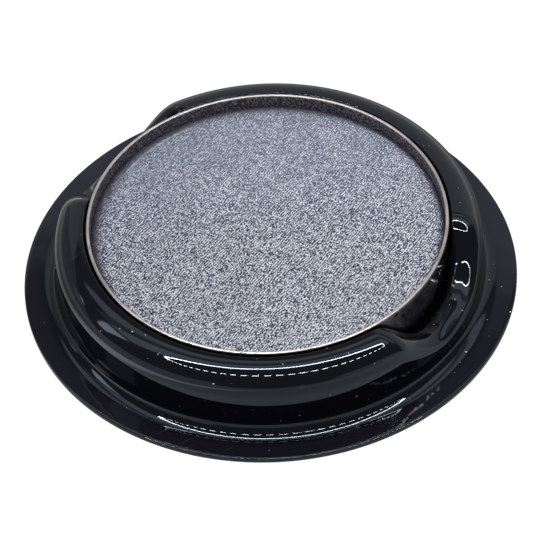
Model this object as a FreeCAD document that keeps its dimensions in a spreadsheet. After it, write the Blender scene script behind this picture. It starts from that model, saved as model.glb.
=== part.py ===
"""Round pan of pressed powder standing in a thin moulded insert tray.

The frame has +Z up, with its origin at the centre of the tray's footprint on the surface it
stands on. Azimuths are measured about +Z from +X. Sizes are in millimetres and degrees.
"""
import FreeCAD, Part
import math
import os

import Sketcher
from FreeCAD import Placement, Rotation, Vector

SHEET_NAME = "Sizes"
SIZES = {
    "full_turn": 360.0,
    # tray shell
    "flange_radius": 18.0,
    "skin": 0.42,
    "foot_fillet": 1.05,
    "wall_radius": 15.5,
    "shoulder_radius": 1.95,
    "lip_radius": 0.15,
    "cavity_round": 1.26,
    "ridge_height": 5.78,
    "pocket_radius": 13.25,
    "pocket_floor": 1.51,
    "seam_height": 1.6,
    # finger notches, where the ridge drops and its shoulder tightens
    "notch_drop": 3.2,
    "notch_tightening": 1.0,
    "notch_end_angle": 25.5,
    "notch_rounding_angle": 3.0,
    "first_notch": -30.25,
    "first_notch_floor_angle": 5.5,
    "second_notch": 141.5,
    "second_notch_floor_angle": 2.0,
    # pan
    "rim_height": 5.91,
    "pan_radius": 13.09,
    "pan_metal": 0.28,
    "pan_corner": 0.9,
    "boss_radius": 9.5,
    "boss_rise": 0.25,
    # powder and label
    "powder_height": 5.0,
    "powder_edge_drop": 0.2,
    "powder_edge_width": 0.7,
    "label_radius": 8.8,
    "label_paper": 0.08,
}
NOTCH_END_SECTIONS = 12


def value_of(formula):
    """Number for a sum of named sizes, such as "wall_radius - skin + 0.5 * notch_drop"."""
    total = 0.0
    sign = 1.0
    factor = 1.0
    for word in formula.split():
        if word in ("+", "-"):
            sign = 1.0 if word == "+" else -1.0
            factor = 1.0
        elif word in SIZES:
            total += sign * factor * SIZES[word]
        elif word != "*":
            factor = float(word)
    return total


def expression_of(formula):
    """The same sum, as the document's expressions spell it."""
    return " ".join(SHEET_NAME + "." + word if word in SIZES else word for word in formula.split())


def make_sheet(doc):
    sheet = doc.addObject("Spreadsheet::Sheet", SHEET_NAME)
    for row, (name, value) in enumerate(SIZES.items(), start=1):
        sheet.set("A%d" % row, name)
        sheet.set("B%d" % row, str(value))
        sheet.setAlias("B%d" % row, name)
    doc.recompute()


def pin_vertex(sketch, edge, end, x_formula, z_formula):
    """Tie one end of an edge to its distances from the sketch's origin."""
    for axis, kind, formula in ((-2, "DistanceX", x_formula), (-1, "DistanceY", z_formula)):
        if formula == "0":
            sketch.addConstraint(Sketcher.Constraint("PointOnObject", edge, end, axis))
            continue
        distance = Sketcher.Constraint(kind, -1, 1, edge, end, value_of(formula))
        number = sketch.addConstraint(distance)
        sketch.setExpression("Constraints[%d]" % number, expression_of(formula))


def draw_outline(sketch, corners):
    """Closed outline of straight edges and arcs.

    A corner is (x, z), or (x, z, arc) where the edge to the next corner is an arc given as
    (centre x, centre z, radius, turn). The turn is 1 for anticlockwise and -1 for clockwise.
    """
    places = [Vector(value_of(corner[0]), value_of(corner[1]), 0) for corner in corners]
    starts = []
    finishes = []
    for number, corner in enumerate(corners):
        start = places[number]
        finish = places[(number + 1) % len(places)]
        if len(corner) == 2:
            edge = sketch.addGeometry(Part.LineSegment(start, finish))
            starts.append((edge, 1))
            finishes.append((edge, 2))
            continue
        centre_x, centre_z, radius, turn = corner[2]
        centre = Vector(value_of(centre_x), value_of(centre_z), 0)
        first, last = (start, finish) if turn > 0 else (finish, start)
        first_angle = math.atan2(first.y - centre.y, first.x - centre.x)
        last_angle = math.atan2(last.y - centre.y, last.x - centre.x)
        circle = Part.Circle(centre, Vector(0, 0, 1), value_of(radius))
        edge = sketch.addGeometry(Part.ArcOfCircle(circle, first_angle, last_angle))
        starts.append((edge, 1 if turn > 0 else 2))
        finishes.append((edge, 2 if turn > 0 else 1))
        bend = sketch.addConstraint(Sketcher.Constraint("Radius", edge, value_of(radius)))
        sketch.setExpression("Constraints[%d]" % bend, expression_of(radius))
    for number, corner in enumerate(corners):
        edge, end = starts[number]
        last_edge, last_end = finishes[number - 1]
        sketch.addConstraint(Sketcher.Constraint("Coincident", last_edge, last_end, edge, end))
        pin_vertex(sketch, edge, end, corner[0], corner[1])


def about_z(azimuth):
    return Rotation(Vector(0, 0, 1), azimuth)


def turned_body(doc, name, corners, span_formula=None, azimuth=0.0):
    """Body made by turning an outline about +Z: all round, or a span centred on an azimuth."""
    body = doc.addObject("PartDesign::Body", name)
    plane = next(item for item in body.Origin.OriginFeatures if item.Role == "XZ_Plane")
    sketch = body.newObject("Sketcher::SketchObject", name + "_outline")
    sketch.AttachmentSupport = [(plane, "")]
    sketch.MapMode = "FlatFace"
    draw_outline(sketch, corners)
    turn = body.newObject("PartDesign::Revolution", name + "_turn")
    turn.Profile = sketch
    turn.ReferenceAxis = (sketch, ["V_Axis"])
    if span_formula is None:
        turn.Angle = SIZES["full_turn"]
    else:
        turn.Midplane = True
        turn.setExpression("Angle", expression_of(span_formula))
    body.Tip = turn
    body.Placement = Placement(Vector(), about_z(azimuth))
    return body


def flange_corners():
    """Flat flange and the concave foot of the wall."""
    foot_x = "wall_radius + foot_fillet"
    foot_z = "skin + foot_fillet"
    return [
        ("flange_radius", "0"),
        ("flange_radius", "skin"),
        (foot_x, "skin", (foot_x, foot_z, "foot_fillet", -1)),
        ("wall_radius", foot_z),
        ("wall_radius", "seam_height"),
        ("wall_radius - skin", "seam_height"),
        ("wall_radius - skin", foot_z, (foot_x, foot_z, "foot_fillet + skin", 1)),
        (foot_x, "0"),
    ]


def floor_corners():
    """Pocket floor and the foot of the pocket's wall."""
    return [
        ("0", "pocket_floor - skin"),
        ("pocket_radius", "pocket_floor - skin", ("pocket_radius", "pocket_floor", "skin", 1)),
        ("pocket_radius + skin", "pocket_floor"),
        ("pocket_radius + skin", "seam_height"),
        ("pocket_radius", "seam_height"),
        ("pocket_radius", "pocket_floor"),
        ("0", "pocket_floor"),
    ]


def ridge_corners(drop):
    """Section of the ridge above the seam, lowered and tightened by a share of the notch's drop."""
    top = "ridge_height - %.4f * notch_drop" % drop
    tighter = " - %.4f * notch_tightening" % drop
    wider = " + %.4f * notch_tightening" % drop
    shoulder = "shoulder_radius" + tighter
    shoulder_x = "wall_radius - shoulder_radius" + wider
    shoulder_z = top + " - shoulder_radius" + wider
    lip_x = "pocket_radius + lip_radius"
    lip_z = top + " - lip_radius"
    inner_x = "pocket_radius + skin"
    inner_top = top + " - skin"
    inner_round = "cavity_round" + tighter
    inner_round_x = "wall_radius - skin - cavity_round" + wider
    inner_round_z = inner_top + " - cavity_round" + wider
    return [
        ("wall_radius", "seam_height"),
        ("wall_radius", shoulder_z, (shoulder_x, shoulder_z, shoulder, 1)),
        (shoulder_x, top),
        (lip_x, top, (lip_x, lip_z, "lip_radius", 1)),
        ("pocket_radius", lip_z),
        ("pocket_radius", "seam_height"),
        (inner_x, "seam_height"),
        (inner_x, inner_top),
        (inner_round_x, inner_top, (inner_round_x, inner_round_z, inner_round, -1)),
        ("wall_radius - skin", inner_round_z),
        ("wall_radius - skin", "seam_height"),
    ]


def slope_drop(angle):
    """Share of the drop at an angle up a notch's end: a cosine slope with its top rounded over."""
    rounding = SIZES["notch_rounding_angle"]
    slope = SIZES["notch_end_angle"] - 2.0 * rounding
    samples = 9
    total = 0.0
    for number in range(samples):
        nearby = angle - 2.0 * rounding * number / (samples - 1)
        rise = min(max(nearby / slope, 0.0), 1.0)
        total += math.cos(0.5 * math.pi * rise)
    return total / samples


def notch_end(doc, name, floor_azimuth, direction):
    """Sloping end of a notch: the ridge's section rises from the notch's floor as it goes round."""
    sections = []
    for step in range(NOTCH_END_SECTIONS):
        angle = SIZES["notch_end_angle"] * step / (NOTCH_END_SECTIONS - 1)
        drop = slope_drop(angle)
        azimuth = floor_azimuth + direction * angle
        sketch = doc.addObject("Sketcher::SketchObject", "%s_section_%d" % (name, step))
        sketch.Placement = Placement(Vector(), about_z(azimuth) * Rotation(Vector(1, 0, 0), 90))
        draw_outline(sketch, ridge_corners(drop))
        sections.append(sketch)
    loft = doc.addObject("Part::Loft", name)
    loft.Sections = sections
    loft.Solid = True
    return loft


def insert_tray(doc):
    """Thin shell: flange, wall, ridge with two notches, and the pocket that holds the pan."""
    pieces = [
        turned_body(doc, "tray_flange", flange_corners()),
        turned_body(doc, "tray_floor", floor_corners()),
    ]
    for notch in ("first_notch", "second_notch"):
        middle = SIZES[notch]
        floor = notch + "_floor_angle"
        half_floor = 0.5 * SIZES[floor]
        pieces += [
            turned_body(doc, notch + "_floor", ridge_corners(1.0), floor, middle),
            notch_end(doc, notch + "_near_end", middle - half_floor, -1),
            notch_end(doc, notch + "_far_end", middle + half_floor, 1),
        ]
    ends = " - 0.5 * first_notch_floor_angle - 0.5 * second_notch_floor_angle - 2 * notch_end_angle"
    between = value_of("0.5 * first_notch + 0.5 * second_notch")
    shift = value_of("0.25 * first_notch_floor_angle - 0.25 * second_notch_floor_angle")
    back_middle = between + shift
    front_middle = between - shift + value_of("0.5 * full_turn")
    back_span = "second_notch - first_notch" + ends
    front_span = "full_turn - second_notch + first_notch" + ends
    pieces.append(turned_body(doc, "ridge_back", ridge_corners(0.0), back_span, back_middle))
    pieces.append(turned_body(doc, "ridge_front", ridge_corners(0.0), front_span, front_middle))
    tray = doc.addObject("Part::MultiFuse", "insert_tray")
    tray.Shapes = pieces
    tray.Refine = True
    return tray


def powder_pan(doc):
    """Drawn metal cup with a rounded rim, a rounded foot and a raised middle."""
    flat_x = "pan_radius - pan_corner"
    corner_z = "pocket_floor + pan_corner"
    inner_x = "pan_radius - pan_metal"
    rim_x = "pan_radius - 0.5 * pan_metal"
    rim_z = "rim_height - 0.5 * pan_metal"
    return turned_body(doc, "powder_pan", [
        ("0", "pocket_floor + boss_rise"),
        ("boss_radius", "pocket_floor + boss_rise"),
        ("boss_radius + boss_rise", "pocket_floor"),
        (flat_x, "pocket_floor", (flat_x, corner_z, "pan_corner", 1)),
        ("pan_radius", corner_z),
        ("pan_radius", rim_z, (rim_x, rim_z, "0.5 * pan_metal", 1)),
        (rim_x, "rim_height", (rim_x, rim_z, "0.5 * pan_metal", 1)),
        (inner_x, rim_z),
        (inner_x, corner_z, (flat_x, corner_z, "pan_corner - pan_metal", -1)),
        (flat_x, "pocket_floor + pan_metal"),
        ("boss_radius + boss_rise", "pocket_floor + pan_metal"),
        ("boss_radius", "pocket_floor + pan_metal + boss_rise"),
        ("0", "pocket_floor + pan_metal + boss_rise"),
    ])


def pressed_powder(doc):
    """Cake of powder that fills the pan's foot and stops short of its rim."""
    flat_x = "pan_radius - pan_corner"
    inner_x = "pan_radius - pan_metal"
    corner_z = "pocket_floor + pan_corner"
    return turned_body(doc, "pressed_powder", [
        ("0", "pocket_floor + pan_metal + boss_rise"),
        ("boss_radius", "pocket_floor + pan_metal + boss_rise"),
        ("boss_radius + boss_rise", "pocket_floor + pan_metal"),
        (flat_x, "pocket_floor + pan_metal", (flat_x, corner_z, "pan_corner - pan_metal", 1)),
        (inner_x, corner_z),
        (inner_x, "powder_height - powder_edge_drop"),
        (inner_x + " - powder_edge_width", "powder_height"),
        ("0", "powder_height"),
    ])


def pan_label(doc):
    """Round paper label on the underside of the pan's raised middle."""
    label = doc.addObject("Part::Cylinder", "pan_label")
    label.setExpression("Radius", expression_of("label_radius"))
    label.setExpression("Height", expression_of("label_paper"))
    base_z = value_of("pocket_floor + boss_rise - label_paper")
    label.Placement = Placement(Vector(0, 0, base_z), Rotation())
    return label


def check_document(doc, parts):
    """Stop if any object failed to compute or any sub-part isn't one sound solid."""
    for item in doc.Objects:
        if "Invalid" in item.State or "Error" in item.State:
            raise RuntimeError("%s failed to compute" % item.Name)
    for part in parts:
        shape = part.Shape
        if shape.isNull() or not shape.isValid() or len(shape.Solids) != 1:
            raise RuntimeError("%s isn't one sound solid" % part.Label)
        box = shape.BoundBox
        print("%-16s volume %8.2f mm3, z %.2f to %.2f" % (part.Label, shape.Volume, box.ZMin, box.ZMax))


def main():
    doc = FreeCAD.newDocument("powder_pan_in_tray")
    make_sheet(doc)
    parts = [insert_tray(doc), powder_pan(doc), pressed_powder(doc), pan_label(doc)]
    doc.recompute()
    check_document(doc, parts)
    os.makedirs("parts", exist_ok=True)
    for part in parts:
        part.Shape.exportStep("parts/%s.step" % part.Label)


main()
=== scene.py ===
"""Looks of a pressed powder pan in a glossy black insert tray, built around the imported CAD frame.

Metres throughout, in the frame of the CAD model: +Z up, the tray's footprint centred on the
origin. Azimuths are measured about +Z from +X.
"""

import math

import bpy
import numpy as np
from mathutils import Matrix, Vector, noise


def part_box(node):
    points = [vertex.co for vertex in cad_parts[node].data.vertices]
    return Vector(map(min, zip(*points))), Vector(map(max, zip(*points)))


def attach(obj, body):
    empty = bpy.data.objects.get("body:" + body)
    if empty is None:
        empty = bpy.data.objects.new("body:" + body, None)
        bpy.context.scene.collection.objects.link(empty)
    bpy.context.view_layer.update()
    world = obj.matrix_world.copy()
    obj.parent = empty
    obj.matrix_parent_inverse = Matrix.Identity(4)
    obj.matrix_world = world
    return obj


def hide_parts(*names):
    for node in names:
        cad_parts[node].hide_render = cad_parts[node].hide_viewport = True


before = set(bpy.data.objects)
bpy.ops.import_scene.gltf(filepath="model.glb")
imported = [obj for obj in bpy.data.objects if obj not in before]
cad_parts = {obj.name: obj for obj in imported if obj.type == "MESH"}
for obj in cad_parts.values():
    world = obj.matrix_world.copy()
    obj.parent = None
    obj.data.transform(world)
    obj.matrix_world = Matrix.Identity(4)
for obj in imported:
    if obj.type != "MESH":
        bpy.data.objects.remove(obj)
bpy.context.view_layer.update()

MM = 0.001
TRAY_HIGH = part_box("insert_tray")[1]
PAN_LOW, PAN_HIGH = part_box("powder_pan")
POWDER_LOW, POWDER_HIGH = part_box("pressed_powder")

# Tray section
FLANGE_RADIUS = TRAY_HIGH.x
RIDGE_HEIGHT = 5.78 * MM
SKIN = 0.42 * MM
FOOT_FILLET = 1.05 * MM
WALL_RADIUS = 15.5 * MM
SHOULDER_RADIUS = 1.95 * MM
LIP_RADIUS = 0.08 * MM
CAVITY_ROUND = 1.26 * MM
POCKET_RADIUS = 13.25 * MM
POCKET_FLOOR = PAN_LOW.z
FLANGE_EDGE_ROUND = 0.09 * MM
POCKET_CORNER = 0.25 * MM
TRAY_AZIMUTHS = 640

# Finger notches, where the ridge drops, its shoulder tightens and its lip grows rounder. Each one
# has the azimuth of its middle and half the width of its level floor, and climbs over NOTCH_END.
NOTCH_DROP = 3.2 * MM
NOTCH_TIGHTENING = 1.0 * MM
NOTCH_LIP_GROWTH = 0.7 * MM
NOTCHES = ((math.radians(-30.25), math.radians(2.75)), (math.radians(141.5), math.radians(1.0)))
NOTCH_END = math.radians(25.5)
NOTCH_ROUNDING = math.radians(3.0)

# Pan and powder
PAN_RADIUS = PAN_HIGH.x
PAN_METAL = 0.28 * MM
PAN_CORNER = 0.9 * MM
BOSS_RADIUS = 9.5 * MM
BOSS_RISE = 0.25 * MM
PAN_AZIMUTHS = 360
POWDER_EDGE_DROP = 0.2 * MM
POWDER_EDGE_WIDTH = 0.7 * MM
POWDER_RINGS = 150
POWDER_GAP = 0.01 * MM
POWDER_GRAIN = 0.012 * MM
POWDER_LUMP = 0.35 * MM

# Camera: where it stands, how it is rolled, and how far the origin lies off the picture's middle
CAMERA_DISTANCE = 250 * MM
CAMERA_ELEVATION = math.radians(46.458)
CAMERA_ROLL = math.radians(-3.495)
CAMERA_LENS = 230.75
CAMERA_SENSOR = 36.0
CAMERA_NEAR = 10 * MM
CAMERA_FAR = 20000 * MM
ORIGIN_RIGHT = 0.286 * MM
ORIGIN_DOWN = 0.646 * MM


# ---------------------------------------------------------------- meshes

def new_piece(name, points, faces):
    """Smooth object with a mesh of its own."""
    mesh = bpy.data.meshes.new(name)
    mesh.from_pydata(points, [], faces)
    mesh.shade_smooth()
    piece = bpy.data.objects.new(name, mesh)
    bpy.context.scene.collection.objects.link(piece)
    return piece


def arc(centre_r, centre_z, radius, first, last, steps):
    """Points of an arc in the section plane, from one angle in degrees to another."""
    angles = np.radians(np.linspace(first, last, steps + 1))
    return [(centre_r + radius * math.cos(a), centre_z + radius * math.sin(a)) for a in angles]


def run(start, finish, steps):
    """Evenly spaced points of a straight run of a section, without its ends."""
    shares = np.linspace(0.0, 1.0, steps + 1)[1:-1]
    return [tuple(np.add(start, share * np.subtract(finish, start))) for share in shares]


def polyline(*pieces):
    """One section from lists of points in a row."""
    points = []
    for piece in pieces:
        points += piece
    return points


def turned_mesh(name, sections):
    """Closed mesh from one section per azimuth, each running from the axis to the axis."""
    sections = np.array(sections)
    count, length = sections.shape[:2]
    azimuths = np.linspace(0.0, 2.0 * math.pi, count, endpoint=False)
    radii = sections[:, 1:-1, 0]
    rings = np.stack([
        radii * np.cos(azimuths)[:, None],
        radii * np.sin(azimuths)[:, None],
        sections[:, 1:-1, 1],
    ], axis=-1)
    points = rings.reshape(-1, 3).tolist()
    first_pole = len(points)
    points += [(0.0, 0.0, sections[0, 0, 1]), (0.0, 0.0, sections[0, -1, 1])]
    inner = length - 2
    faces = []
    for a in range(count):
        b = (a + 1) % count
        faces.append((first_pole, a * inner, b * inner))
        faces += [
            (a * inner + k, a * inner + k + 1, b * inner + k + 1, b * inner + k)
            for k in range(inner - 1)
        ]
        faces.append((a * inner + inner - 1, first_pole + 1, b * inner + inner - 1))
    return new_piece(name, points, faces)


def slope_drop(angle):
    """Share of the drop at an angle up a notch's end: a cosine slope with its top rounded over."""
    slope = NOTCH_END - 2.0 * NOTCH_ROUNDING
    rises = np.clip((angle - np.linspace(0.0, 2.0 * NOTCH_ROUNDING, 9)) / slope, 0.0, 1.0)
    return float(np.mean(np.cos(0.5 * math.pi * rises)))


def notch_share(azimuth):
    """How much of the notch's full drop the ridge has at an azimuth, from 0 to 1."""
    climbs = [
        abs((azimuth - middle + math.pi) % (2.0 * math.pi) - math.pi) - half_floor
        for middle, half_floor in NOTCHES
    ]
    return slope_drop(min(climbs))


def tray_section(azimuth):
    """Section of the shell: pocket, lip, shoulder, wall, foot and flange, then back underneath."""
    share = notch_share(azimuth)
    top = RIDGE_HEIGHT - NOTCH_DROP * share
    shoulder = SHOULDER_RADIUS - NOTCH_TIGHTENING * share
    shoulder_r, shoulder_z = WALL_RADIUS - shoulder, top - shoulder
    lip = LIP_RADIUS + NOTCH_LIP_GROWTH * share
    lip_r = POCKET_RADIUS + lip
    foot_r = WALL_RADIUS + FOOT_FILLET
    foot_z = SKIN + FOOT_FILLET
    edge = FLANGE_EDGE_ROUND
    edge_r = FLANGE_RADIUS - edge
    inner = POCKET_RADIUS + SKIN
    under = CAVITY_ROUND - NOTCH_TIGHTENING * share
    under_r, under_z = WALL_RADIUS - SKIN - under, top - SKIN - under
    corner_r = POCKET_RADIUS - POCKET_CORNER
    return polyline(
        [(0.0, POCKET_FLOOR)],
        run((0.0, POCKET_FLOOR), (corner_r, POCKET_FLOOR), 4),
        arc(corner_r, POCKET_FLOOR + POCKET_CORNER, POCKET_CORNER, -90, 0, 4),
        run((POCKET_RADIUS, POCKET_FLOOR + POCKET_CORNER), (POCKET_RADIUS, top - lip), 4),
        arc(lip_r, top - lip, lip, 180, 90, 14),
        run((lip_r, top), (shoulder_r, top), 8),
        arc(shoulder_r, shoulder_z, shoulder, 90, 0, 40),
        run((WALL_RADIUS, shoulder_z), (WALL_RADIUS, foot_z), 8),
        arc(foot_r, foot_z, FOOT_FILLET, 180, 270, 24),
        run((foot_r, SKIN), (edge_r, SKIN), 7),
        arc(edge_r, SKIN - edge, edge, 90, 0, 4),
        arc(edge_r, edge, edge, 0, -90, 4),
        run((edge_r, 0.0), (foot_r, 0.0), 3),
        arc(foot_r, foot_z, FOOT_FILLET + SKIN, 270, 180, 9),
        run((WALL_RADIUS - SKIN, foot_z), (WALL_RADIUS - SKIN, under_z), 3),
        arc(under_r, under_z, under, 0, 90, 7),
        run((under_r, top - SKIN), (inner, top - SKIN), 2),
        run((inner, top - SKIN), (inner, POCKET_FLOOR), 3),
        arc(POCKET_RADIUS, POCKET_FLOOR, SKIN, 0, -90, 4),
        [(0.0, POCKET_FLOOR - SKIN)],
    )


def tray_shell():
    """The moulded insert tray."""
    azimuths = np.linspace(0.0, 2.0 * math.pi, TRAY_AZIMUTHS, endpoint=False)
    return turned_mesh("tray_shell", [tray_section(azimuth) for azimuth in azimuths])


def pan_section():
    """Section of the drawn metal cup, from the middle of its floor over the rim to its underside."""
    flat_r = PAN_RADIUS - PAN_CORNER
    inner_r = PAN_RADIUS - PAN_METAL
    rim_z = PAN_HIGH.z - 0.5 * PAN_METAL
    floor_z = PAN_LOW.z
    corner_z = floor_z + PAN_CORNER
    top_z = floor_z + PAN_METAL
    return polyline(
        [(0.0, top_z + BOSS_RISE), (BOSS_RADIUS, top_z + BOSS_RISE), (BOSS_RADIUS + BOSS_RISE, top_z)],
        arc(flat_r, corner_z, PAN_CORNER - PAN_METAL, -90, 0, 6),
        run((inner_r, corner_z), (inner_r, rim_z), 6),
        arc(PAN_RADIUS - 0.5 * PAN_METAL, rim_z, 0.5 * PAN_METAL, 180, 0, 16),
        run((PAN_RADIUS, rim_z), (PAN_RADIUS, corner_z), 6),
        arc(flat_r, corner_z, PAN_CORNER, 0, -90, 8),
        [(BOSS_RADIUS + BOSS_RISE, floor_z), (BOSS_RADIUS, floor_z + BOSS_RISE)],
        [(0.0, floor_z + BOSS_RISE)],
    )


def pan_cup():
    """The metal pan."""
    return turned_mesh("pan_cup", [pan_section()] * PAN_AZIMUTHS)


def powder_height(radius):
    """Height of the cake's surface before its grain: flat, then a soft bevel at the pan's wall."""
    inner_r = PAN_RADIUS - PAN_METAL
    share = min(max((radius - inner_r + POWDER_EDGE_WIDTH) / POWDER_EDGE_WIDTH, 0.0), 1.0)
    return POWDER_HIGH.z - POWDER_EDGE_DROP * share * share


def cake_surface():
    """The cake's grained surface: rings of points with six more in each, so that they lie evenly."""
    outer = PAN_RADIUS - PAN_METAL - POWDER_GAP
    points = [(0.0, 0.0, POWDER_HIGH.z - POWDER_GRAIN)]
    starts = [0]
    for ring in range(1, POWDER_RINGS + 1):
        starts.append(len(points))
        radius = outer * ring / POWDER_RINGS
        for step in range(6 * ring):
            azimuth = 2.0 * math.pi * step / (6 * ring)
            x, y = radius * math.cos(azimuth), radius * math.sin(azimuth)
            grain = noise.noise(Vector((x, y, 0.0)) / POWDER_LUMP)
            points.append((x, y, powder_height(radius) - POWDER_GRAIN * (1.0 - min(grain, 1.0))))
    faces = []
    for ring in range(1, POWDER_RINGS + 1):
        outer_count, inner_count = 6 * ring, max(6 * (ring - 1), 1)
        for side in range(6):
            for step in range(ring):
                a = starts[ring] + side * ring + step
                b = starts[ring] + (side * ring + step + 1) % outer_count
                c = starts[ring - 1] + (side * (ring - 1) + step) % inner_count
                faces.append((a, b, c))
                if step < ring - 1:
                    d = starts[ring - 1] + (side * (ring - 1) + step + 1) % inner_count
                    faces.append((b, d, c))
    return points, faces, starts[-1]


def powder_cake():
    """The cake of powder: its surface, then its side and its underside on the pan's floor."""
    points, faces, last = cake_surface()
    edge_count = 6 * POWDER_RINGS
    flat_r = PAN_RADIUS - PAN_CORNER
    foot = PAN_CORNER - PAN_METAL - POWDER_GAP
    corner_z = PAN_LOW.z + PAN_CORNER
    below = arc(flat_r, corner_z, foot, 0, -90, 5) + [(BOSS_RADIUS + BOSS_RISE, POWDER_LOW.z)]
    for radius, height in below:
        first = len(points)
        for step in range(edge_count):
            azimuth = 2.0 * math.pi * step / edge_count
            points.append((radius * math.cos(azimuth), radius * math.sin(azimuth), height))
        for step in range(edge_count):
            following = (step + 1) % edge_count
            faces.append((last + step, first + step, first + following, last + following))
        last = first
    middle = len(points)
    points.append((0.0, 0.0, POWDER_LOW.z + BOSS_RISE))
    faces += [(last + step, middle, last + (step + 1) % edge_count) for step in range(edge_count)]
    return new_piece("powder_cake", points, faces)


# ---------------------------------------------------------------- materials

# Colours, then the sizes in millimetres of the powder's grain and pearl and how often the cloth's
# threads come along X and Y
TRAY_BLACK = (0.0024, 0.0027, 0.0044, 1.0)
FLANGE_BLACK = (0.0056, 0.0052, 0.0092, 1.0)
SCRATCH_GREY = (0.09, 0.092, 0.10, 1.0)
DUST_GREY = (0.45, 0.45, 0.48, 1.0)
GLOSS_TINT = (0.84, 1.0, 1.22, 1.0)
# the metal's shaded copy for the walls and lit copy for the rim's top: painted shade and painted highlight
METAL_WALL_SHADED = ((0.16, 0.14, 0.15, 1.0), (0.36, 0.33, 0.34, 1.0))
METAL_RIM_LIT = ((0.45, 0.42, 0.43, 1.0), (0.80, 0.77, 0.78, 1.0))
METAL_POWDERY = ((0.020, 0.019, 0.030, 1.0), (0.19, 0.19, 0.24, 1.0))
POWDER_DARK = (0.012, 0.018, 0.044, 1.0)
POWDER_MIDDLE = (0.105, 0.136, 0.210, 1.0)
POWDER_LIGHT = (0.58, 0.66, 0.81, 1.0)
POWDER_WARM = (0.62, 0.65, 0.71, 1.0)
POWDER_EDGE_SHADE_AND_CHIPS = (0.040, 0.040, 0.066, 1.0)
POWDER_FLAKE = (0.85, 0.83, 0.80, 1.0)
PAPER_FIBRES = ((0.68, 0.66, 0.61, 1.0), (0.86, 0.85, 0.82, 1.0))
PAPER_YELLOWED = (0.80, 0.76, 0.66, 1.0)
PAPER_SOILED = (0.30, 0.31, 0.35, 1.0)
GRAIN_SIZE = 0.088
PEARL_SIZE = 0.12
THREADS_PER_MM = (4.4, 3.3)


class Nodes:
    """Short calls for building one node tree."""

    def __init__(self, tree):
        self.tree = tree
        tree.nodes.clear()

    def add(self, kind, inputs=None, **settings):
        node = self.tree.nodes.new(kind)
        for key, value in settings.items():
            setattr(node, key, value)
        for key, value in (inputs or {}).items():
            self.put(value, node.inputs[key])
        return node

    def put(self, value, socket):
        if isinstance(value, bpy.types.NodeSocket):
            self.tree.links.new(value, socket)
        else:
            socket.default_value = value

    def math(self, operation, *values, clamp=False):
        node = self.add("ShaderNodeMath", operation=operation, use_clamp=clamp)
        for number, value in enumerate(values):
            self.put(value, node.inputs[number])
        return node.outputs[0]

    def plus(self, first, second, clamp=False):
        return self.math("ADD", first, second, clamp=clamp)

    def minus(self, first, second):
        return self.math("SUBTRACT", first, second)

    def times(self, first, second):
        return self.math("MULTIPLY", first, second)

    def remap(self, value, low, high, new_low=0.0, new_high=1.0, smooth=True):
        kind = "SMOOTHSTEP" if smooth else "LINEAR"
        node = self.add("ShaderNodeMapRange", {
            "Value": value, "From Min": low, "From Max": high, "To Min": new_low, "To Max": new_high,
        }, interpolation_type=kind)
        return node.outputs["Result"]

    def window(self, value, low, high, soft):
        """1 between two values and 0 outside them, with soft ends."""
        rise = self.remap(value, low - 0.5 * soft, low + 0.5 * soft)
        fall = self.remap(value, high - 0.5 * soft, high + 0.5 * soft, 1.0, 0.0)
        return self.times(rise, fall)

    def blend(self, share, first, second):
        """Number between two numbers."""
        node = self.add("ShaderNodeMix", data_type="FLOAT")
        for number, value in ((0, share), (2, first), (3, second)):
            self.put(value, node.inputs[number])
        return node.outputs[0]

    def mix(self, share, first, second):
        """Colour between two colours."""
        node = self.add("ShaderNodeMix", data_type="RGBA")
        for number, value in ((0, share), (6, first), (7, second)):
            self.put(value, node.inputs[number])
        return node.outputs[2]

    def split(self, vector):
        """The three parts of a vector."""
        return tuple(self.add("ShaderNodeSeparateXYZ", {"Vector": vector}).outputs)

    def join(self, x, y, z):
        return self.add("ShaderNodeCombineXYZ", {"X": x, "Y": y, "Z": z}).outputs[0]

    def polar(self, place):
        """Distance from the axis, azimuth in degrees, and the same place unrolled along the turn."""
        x, y, _ = self.split(place)
        squares = self.plus(self.times(x, x), self.times(y, y))
        radius = self.math("SQRT", squares)
        turn = self.math("ARCTAN2", y, x)
        return radius, self.math("DEGREES", turn), turn

    def noise(self, place, size, detail=2.0):
        """Soft noise with blots of about one size in millimetres."""
        return self.add("ShaderNodeTexNoise", {
            "Vector": place, "Scale": 1.0 / size, "Detail": detail,
        }).outputs[0]

    def specks(self, place, spacing, radius, share):
        """Round specks at a share of the cells of an uneven lattice, all sizes in millimetres."""
        cells = self.add("ShaderNodeTexVoronoi", {"Vector": place, "Scale": 1.0 / spacing})
        pick, size, _ = self.split(cells.outputs["Color"])
        reach = self.times(self.remap(size, 0.0, 1.0, 0.4, 1.0), radius / spacing)
        inside = self.math("LESS_THAN", cells.outputs["Distance"], reach)
        return self.times(inside, self.math("LESS_THAN", pick, share))

    def bump(self, height, distance, strength=1.0):
        return self.add("ShaderNodeBump", {
            "Height": height, "Distance": distance, "Strength": strength,
        }).outputs[0]

    def finish(self, shader, kind="ShaderNodeOutputMaterial"):
        """Join a shader node to the tree's output."""
        self.put(shader.outputs[0], self.add(kind).inputs["Surface"])


def new_material(name):
    """A Principled material with the place in millimetres for its textures."""
    material = bpy.data.materials.new(name)
    material.use_nodes = True
    nodes = Nodes(material.node_tree)
    surface = nodes.add("ShaderNodeBsdfPrincipled")
    nodes.finish(surface)
    place = nodes.add("ShaderNodeTexCoord").outputs["Object"]
    scale = nodes.add("ShaderNodeVectorMath", {"Vector": place, "Scale": 1.0 / MM}, operation="SCALE")
    return material, nodes, surface, scale.outputs[0]


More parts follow.
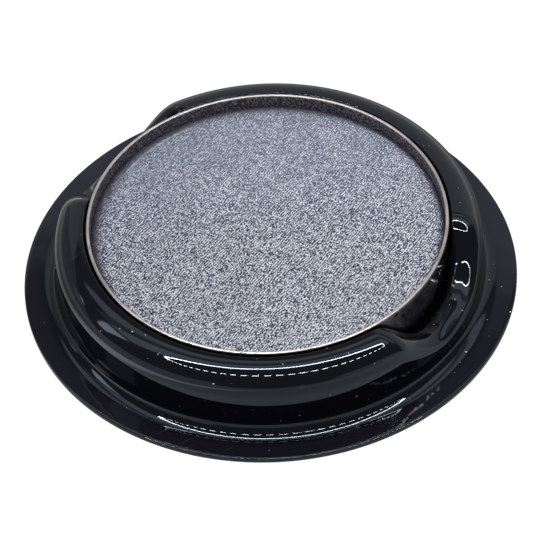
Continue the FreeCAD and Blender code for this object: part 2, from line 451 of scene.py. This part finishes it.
def tray_plastic():
    """Glossy black moulded plastic with faint waviness, haze, hairline scratches, scuffs and dust."""
    material, nodes, surface, place = new_material("black_gloss_plastic")
    x, y, z = nodes.split(place)
    radius, _, _ = nodes.polar(place)
    dust = nodes.specks(place, 0.9, 0.07, 0.17)
    fine_dust = nodes.specks(place, 0.45, 0.048, 0.3)
    patchy = nodes.remap(nodes.noise(place, 6.0), 0.42, 0.62)
    dust = nodes.math("MAXIMUM", dust, nodes.times(fine_dust, patchy))
    # a ragged scuff across the flange at the front right, with its course as a direction
    course_x, course_y = 0.67, 0.742
    crossing = nodes.minus(nodes.times(y, course_x), nodes.times(x, course_y))
    crossing = nodes.plus(crossing, nodes.times(nodes.noise(place, 0.9, 4.0), 1.1))
    along = nodes.plus(nodes.times(x, course_x), nodes.times(y, course_y))
    scuff = nodes.times(nodes.window(crossing, -16.2, -16.0, 0.16), nodes.window(along, -6.0, -1.6, 0.8))
    scuff = nodes.times(scuff, nodes.remap(nodes.noise(place, 0.35, 3.0), 0.4, 0.6))
    scuff = nodes.times(scuff, nodes.remap(radius, 16.0, 16.3))
    hair = nodes.join(
        nodes.plus(nodes.times(x, 0.25), nodes.times(y, 0.12)),
        nodes.minus(nodes.times(x, 2.4), nodes.times(y, 5.0)),
        nodes.times(z, 2.0),
    )
    scratches = nodes.remap(nodes.noise(hair, 1.1, 3.0), 0.685, 0.72)
    haze = nodes.remap(nodes.noise(place, 4.0, 3.0), 0.35, 0.75, 0.018, 0.07)
    marks = nodes.math("MAXIMUM", scuff, nodes.times(scratches, 0.12))
    # the flange's black a little lighter and bluer than the ridge's
    flange_share = nodes.remap(radius, 16.3, 17.0)
    colour = nodes.mix(flange_share, TRAY_BLACK, FLANGE_BLACK)
    colour = nodes.mix(marks, colour, SCRATCH_GREY)
    colour = nodes.mix(dust, colour, DUST_GREY)
    nodes.put(colour, surface.inputs["Base Color"])
    rough = nodes.blend(nodes.math("MAXIMUM", dust, marks), haze, 0.5)
    nodes.put(rough, surface.inputs["Roughness"])
    nodes.put(1.5, surface.inputs["IOR"])
    nodes.put(GLOSS_TINT, surface.inputs["Specular Tint"])
    waves = nodes.times(nodes.noise(place, 3.2, 1.0), 0.006 * MM)
    relief = nodes.plus(waves, nodes.times(dust, 0.01 * MM))
    relief = nodes.minus(relief, nodes.times(marks, 0.002 * MM))
    nodes.put(nodes.bump(relief, 1.0), surface.inputs["Normal"])
    return material


def pan_metal():
    """Drawn sheet metal: a lit copy on the rim's top and a darker shaded copy down the walls, as painted
    highlight and painted shade, and the dust of the powder inside.
    """
    material, nodes, surface, place = new_material("drawn_metal")
    _, _, z = nodes.split(place)
    radius, _, turn = nodes.polar(place)
    unrolled = nodes.join(nodes.times(turn, 13.0), nodes.times(z, 0.25), radius)
    drawing = nodes.noise(unrolled, 0.22, 3.0)
    blotches = nodes.noise(place, 1.6, 3.0)
    inner_r = (PAN_RADIUS - PAN_METAL) / MM
    rim_z = PAN_HIGH.z / MM
    rim = nodes.remap(z, rim_z - 0.08, rim_z - 0.02)
    inside = nodes.remap(radius, inner_r + 0.06, inner_r + 0.17, 1.0, 0.0)
    # painted light on one metal: a darker, shaded copy down the walls and a lit copy on the rim's top; the
    # blotches are the metal's own
    shaded_wall = nodes.mix(blotches, *METAL_WALL_SHADED)
    lit_rim = nodes.mix(blotches, *METAL_RIM_LIT)
    colour = nodes.mix(rim, shaded_wall, lit_rim)
    crumbs = nodes.remap(nodes.noise(place, 0.16, 2.0), 0.42, 0.7)
    powdery = nodes.mix(crumbs, *METAL_POWDERY)
    dusty = nodes.times(inside, nodes.remap(z, rim_z - 0.10, rim_z - 0.01, 1.0, 0.25))
    nodes.put(nodes.mix(dusty, colour, powdery), surface.inputs["Base Color"])
    nodes.put(nodes.minus(1.0, nodes.times(dusty, 0.9)), surface.inputs["Metallic"])
    rough = nodes.remap(drawing, 0.3, 0.7, 0.1, 0.24)
    rough = nodes.blend(rim, rough, nodes.remap(blotches, 0.3, 0.7, 0.25, 0.42))
    nodes.put(nodes.blend(dusty, rough, 0.7), surface.inputs["Roughness"])
    nicks = nodes.times(drawing, 0.006 * MM)
    nodes.put(nodes.bump(nicks, 1.0), surface.inputs["Normal"])
    return material


def powder_tone(nodes, place, level):
    """Lightness of the powder from 0 to 1: its grain, the cloth's threads, a soft mottling and a painted
    sheen that lightens it towards the back.
    """
    x, y, _ = nodes.split(place)
    wobble = nodes.times(nodes.noise(place, 1.1), 2.0)
    across = nodes.minus(nodes.times(y, THREADS_PER_MM[1]), nodes.times(x, THREADS_PER_MM[0]))
    threads = nodes.math("SINE", nodes.times(nodes.plus(across, wobble), 2.0 * math.pi))
    patchy = nodes.remap(nodes.noise(place, 0.8), 0.35, 0.65, 0.15, 1.0)
    threads = nodes.times(threads, patchy)
    grain = nodes.minus(nodes.noise(level, GRAIN_SIZE, 0.0), 0.5)
    mottle = nodes.minus(nodes.noise(place, 3.0, 2.0), 0.5)
    tone = nodes.plus(nodes.times(grain, 3.9), nodes.times(threads, 0.75))
    tone = nodes.times(tone, nodes.remap(y, -13.0, 9.0, 1.9, 0.28))
    tone = nodes.plus(tone, nodes.times(mottle, 0.1))
    # lighter towards the back: a painted sheen
    return nodes.plus(tone, nodes.remap(y, -9.0, 9.0, 0.47, 0.61), clamp=True)


def edge_shade_and_chips(nodes, place):
    """Shares of powder darkened along the pan's wall as painted shade, reaching further in at the back
    left, and of short chips that run inwards.
    """
    x, y, _ = nodes.split(place)
    radius, _, turn = nodes.polar(place)
    edge_r = (PAN_RADIUS - PAN_METAL) / MM
    ragged = nodes.plus(radius, nodes.times(nodes.noise(place, 0.7, 3.0), 0.5))
    # painted shade of the pan's wall on the powder, reaching further in towards the back left
    shadow_side = nodes.minus(nodes.times(y, 0.8), nodes.times(x, 0.6))
    reach = nodes.remap(shadow_side, 0.0, 10.0, 0.35, 1.1)
    edge = nodes.remap(ragged, nodes.minus(edge_r, reach), edge_r + 0.2)
    spokes = nodes.join(nodes.times(turn, 12.0), nodes.times(radius, 0.25), 0.0)
    chips = nodes.remap(nodes.noise(spokes, 0.4, 2.0), 0.62, 0.68)
    chips = nodes.times(chips, nodes.window(radius, edge_r - 0.9, edge_r, 0.5))
    return edge, chips


def shimmer_powder():
    """Pressed blue-grey powder with pearl flakes and the fine diagonal print of the press cloth."""
    material, nodes, surface, place = new_material("shimmer_powder")
    x, y, _ = nodes.split(place)
    radius, azimuth, _ = nodes.polar(place)
    # the finest noise lies in one level plane halfway between its lattice's planes
    level = nodes.join(x, y, 0.5 * GRAIN_SIZE)
    tone = powder_tone(nodes, place, level)
    edge, chips = edge_shade_and_chips(nodes, place)
    pearly = nodes.remap(nodes.noise(level, PEARL_SIZE, 0.0), 0.35, 0.65)
    pearl = nodes.mix(pearly, POWDER_LIGHT, POWDER_WARM)
    colour = nodes.mix(nodes.remap(tone, 0.0, 0.5), POWDER_DARK, POWDER_MIDDLE)
    colour = nodes.mix(nodes.remap(tone, 0.5, 1.0), colour, pearl)
    # one dark colour for the painted shade along the wall and for the real chips
    colour = nodes.mix(nodes.math("MAXIMUM", edge, nodes.times(chips, 0.6)), colour, POWDER_EDGE_SHADE_AND_CHIPS)
    # a painted highlight along the bevel at the back left, where the plateau's edge catches the light
    bevel_highlight = nodes.times(nodes.window(radius, 11.95, 12.12, 0.1), nodes.window(azimuth, 116.0, 146.0, 10.0))
    bevel_highlight = nodes.times(bevel_highlight, nodes.remap(nodes.noise(place, 0.9, 3.0), 0.35, 0.65, 0.2, 0.6))
    colour = nodes.mix(bevel_highlight, colour, POWDER_LIGHT)
    flakes = nodes.specks(place, 0.16, 0.05, 0.06)
    colour = nodes.mix(flakes, colour, POWDER_FLAKE)
    # darker towards the left: painted shade
    colour = nodes.mix(nodes.remap(x, -14.0, 4.0, 0.2, 0.03), colour, POWDER_DARK)
    nodes.put(colour, surface.inputs["Base Color"])
    nodes.put(nodes.blend(flakes, 0.25, 0.7), surface.inputs["Metallic"])
    nodes.put(nodes.blend(flakes, 0.55, 0.3), surface.inputs["Roughness"])
    relief = nodes.times(nodes.minus(tone, chips), 0.03 * MM)
    nodes.put(nodes.bump(relief, 1.0, 0.8), surface.inputs["Normal"])
    return material


def label_paper():
    """Plain matt paper with felted fibres, soft yellowing and an edge greyed by powder."""
    material, nodes, surface, place = new_material("label_paper")
    x, y, z = nodes.split(place)
    radius, _, _ = nodes.polar(place)
    lengthways = nodes.join(nodes.times(x, 0.25), y, z)
    crossways = nodes.join(x, nodes.times(y, 0.3), z)
    fibres = nodes.times(nodes.noise(lengthways, 0.12, 4.0), nodes.noise(crossways, 0.15, 4.0))
    fibres = nodes.remap(fibres, 0.12, 0.4)
    cloudy = nodes.remap(nodes.noise(place, 2.4, 3.0), 0.35, 0.65, 0.0, 0.4)
    colour = nodes.mix(fibres, *PAPER_FIBRES)
    colour = nodes.mix(cloudy, colour, PAPER_YELLOWED)
    ragged = nodes.plus(radius, nodes.noise(place, 0.6, 3.0))
    colour = nodes.mix(nodes.remap(ragged, 8.6, 9.4, 0.0, 0.6), colour, PAPER_SOILED)
    nodes.put(colour, surface.inputs["Base Color"])
    nodes.put(nodes.remap(fibres, 0.0, 1.0, 0.72, 0.9), surface.inputs["Roughness"])
    nodes.put(nodes.bump(nodes.times(fibres, 0.01 * MM), 1.0), surface.inputs["Normal"])
    return material


# ---------------------------------------------------------------- stage, light and camera

# Strengths of light, where 1 is plain white, and the share that the object's shadow takes away
WHITE = (1.0, 1.0, 1.0, 1.0)
BACKDROP_TO_THE_EYE = 1.0
FLOOR_TO_THE_EYE = 1.05
FLOOR_LIGHT = 0.54
FLOOR_LEFT_STRIP = 1.1
FLOOR_RIGHT_SIDE = 0.18
FLOOR_SHADOW = 0.75
ROOM_GLOW = 0.115
LAMP_LIGHT = 122.0
LAMP_COLOUR = (1.0, 0.93, 0.86, 1.0)

# Soft panels round the object: pitch runs from the back horizon (0) over the top (90) to the front
# horizon (180), side from the left (-90) to the right (90), both in degrees
PANELS = (
    # strength, first and last pitch, first and last side, softness
    (0.40, -10.0, 47.0, 0.0, 100.0, 2.0),
    (0.40, -10.0, 45.7, -33.0, 0.0, 1.5),
    (0.17, -10.0, 47.0, -100.0, -33.0, 2.0),
    (0.75, 53.5, 66.0, -30.0, 62.0, 2.5),
    (0.20, 66.0, 77.0, -45.0, 62.0, 2.5),
    (0.95, 77.0, 96.0, -45.0, 50.0, 3.0),
    (2.60, 78.0, 97.0, -73.0, -50.0, 3.0),
    (1.50, 47.0, 53.0, -67.0, -60.0, 2.0),
    (0.30, 28.0, 42.0, -74.0, -62.0, 5.0),
    (0.42, 173.0, 190.0, -28.0, 28.0, 4.0),
    (0.42, 163.0, 190.0, -100.0, -28.0, 4.0),
    (0.42, 163.0, 190.0, 28.0, 100.0, 4.0),
)

# Floor and lamps: the floor's half width and depth, then the lamps' height, number and half width
# of tube. A lamp fills its place in the loop's back half and leaves a gap in its front half.
FLOOR_REACH = 4.0
FLOOR_DEPTH = 0.02 * MM
LAMP_HEIGHT = 0.5
LAMP_COUNT = 58
LAMP_TUBE = 0.008 * LAMP_HEIGHT
LAMP_FRONT_SHARE = 0.55


def white_floor():
    """Pale table top out to the horizon, plain white to the eye and softer in the gloss."""
    signs = ((-1, -1), (1, -1), (1, 1), (-1, 1))
    corners = [(FLOOR_REACH * right, FLOOR_REACH * back, -FLOOR_DEPTH) for right, back in signs]
    floor = new_piece("floor", corners, [(0, 1, 2, 3)])
    material = bpy.data.materials.new("white_table")
    material.use_nodes = True
    nodes = Nodes(material.node_tree)
    place = nodes.add("ShaderNodeTexCoord").outputs["Object"]
    x, y, _ = nodes.split(place)
    left = nodes.times(nodes.window(x, -23 * MM, -16 * MM, 3 * MM), FLOOR_LEFT_STRIP)
    right = nodes.remap(x, 12 * MM, 24 * MM, 0.0, FLOOR_RIGHT_SIDE)
    open_light = nodes.plus(nodes.plus(left, right), FLOOR_LIGHT)
    # the object's own soft shadow falls beside it and behind it
    radius, _, _ = nodes.polar(place)
    shadow = nodes.remap(radius, 19 * MM, 48 * MM, FLOOR_SHADOW, 0.0)
    shadow = nodes.times(shadow, nodes.remap(y, -14 * MM, 0.0))
    reflected = nodes.times(open_light, nodes.minus(1.0, shadow))
    eye = nodes.add("ShaderNodeLightPath").outputs["Is Camera Ray"]
    strength = nodes.blend(eye, reflected, FLOOR_TO_THE_EYE)
    glow = nodes.add("ShaderNodeEmission", {"Color": WHITE, "Strength": strength})
    nodes.finish(glow)
    floor.data.materials.append(material)


def studio_world():
    """The soft panels by direction. The eye sees a plain pale backdrop instead."""
    world = bpy.data.worlds.new("studio")
    bpy.context.scene.world = world
    world.use_nodes = True
    nodes = Nodes(world.node_tree)
    direction = nodes.add("ShaderNodeTexCoord").outputs["Generated"]
    x, y, z = nodes.split(direction)
    pitch = nodes.math("DEGREES", nodes.math("ARCTAN2", z, y))
    side = nodes.math("DEGREES", nodes.math("ARCSINE", x))
    total = ROOM_GLOW
    for strength, low, high, left, right, soft in PANELS:
        lit = nodes.times(nodes.window(pitch, low, high, soft), strength)
        lit = nodes.times(nodes.window(side, left, right, 2.0 * soft), lit)
        total = nodes.plus(lit, total)
    eye = nodes.add("ShaderNodeLightPath").outputs["Is Camera Ray"]
    strength = nodes.blend(eye, total, BACKDROP_TO_THE_EYE)
    background = nodes.add("ShaderNodeBackground", {"Color": WHITE, "Strength": strength})
    nodes.finish(background, "ShaderNodeOutputWorld")


def ring_of_lamps():
    """Loop of small lamps above the front of the object, which its gloss shows as dashed lines."""
    middle_x, middle_y = 0.04 * LAMP_HEIGHT, -0.326 * LAMP_HEIGHT
    half_width, half_depth = 0.76 * LAMP_HEIGHT, 0.28 * LAMP_HEIGHT
    points, faces = [], []
    for lamp in range(LAMP_COUNT):
        first = len(points)
        lamp_share = 1.0 if lamp < LAMP_COUNT // 2 else LAMP_FRONT_SHARE
        for end in (0.0, lamp_share):
            turn = 2.0 * math.pi * (lamp + end) / LAMP_COUNT
            x, y = middle_x + half_width * math.cos(turn), middle_y + half_depth * math.sin(turn)
            outward = Vector((half_depth * math.cos(turn), half_width * math.sin(turn), 0.0)).normalized()
            for side in (-LAMP_TUBE, LAMP_TUBE):
                points.append((x + side * outward.x, y + side * outward.y, LAMP_HEIGHT))
        faces.append((first, first + 2, first + 3, first + 1))
    ring = new_piece("lamp_ring", points, faces)
    material = bpy.data.materials.new("lamp_light")
    material.use_nodes = True
    nodes = Nodes(material.node_tree)
    glow = nodes.add("ShaderNodeEmission", {"Strength": LAMP_LIGHT, "Color": LAMP_COLOUR})
    nodes.finish(glow)
    ring.data.materials.append(material)
    ring.visible_camera = False


def camera():
    """The camera, aimed so that the origin lies a little right of and below the picture's middle."""
    data = bpy.data.cameras.new("camera")
    data.lens = CAMERA_LENS
    data.sensor_width = CAMERA_SENSOR
    seat = bpy.data.objects.new("camera", data)
    bpy.context.scene.collection.objects.link(seat)
    back = Vector((0.0, -math.cos(CAMERA_ELEVATION), math.sin(CAMERA_ELEVATION)))
    turn = (-back).to_track_quat("-Z", "Y").to_matrix() @ Matrix.Rotation(CAMERA_ROLL, 3, "Z")
    aim = turn @ Vector((-ORIGIN_RIGHT, ORIGIN_DOWN, 0.0))
    place = CAMERA_DISTANCE * back
    level = (aim - place).to_track_quat("-Z", "Y").to_matrix()
    seat.matrix_world = Matrix.Translation(place) @ (level @ Matrix.Rotation(CAMERA_ROLL, 3, "Z")).to_4x4()
    data.clip_start = CAMERA_NEAR
    data.clip_end = CAMERA_FAR
    bpy.context.scene.camera = seat


def finish_piece(piece, material, body, slot, *nodes):
    """Give a piece its material and the body it moves with, and hide the CAD nodes it stands for. The slot
    is not used.
    """
    piece.data.materials.append(material)
    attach(piece, body)
    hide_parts(*nodes)


finish_piece(tray_shell(), tray_plastic(), "tray", "tray_plastic", "insert_tray")
finish_piece(pan_cup(), pan_metal(), "refill", "pan_metal", "powder_pan")
finish_piece(powder_cake(), shimmer_powder(), "refill", "powder", "pressed_powder")
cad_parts["pan_label"].material_slots[0].material = label_paper()

white_floor()
studio_world()
ring_of_lamps()
camera()
bpy.context.scene.view_settings.view_transform = "Standard"
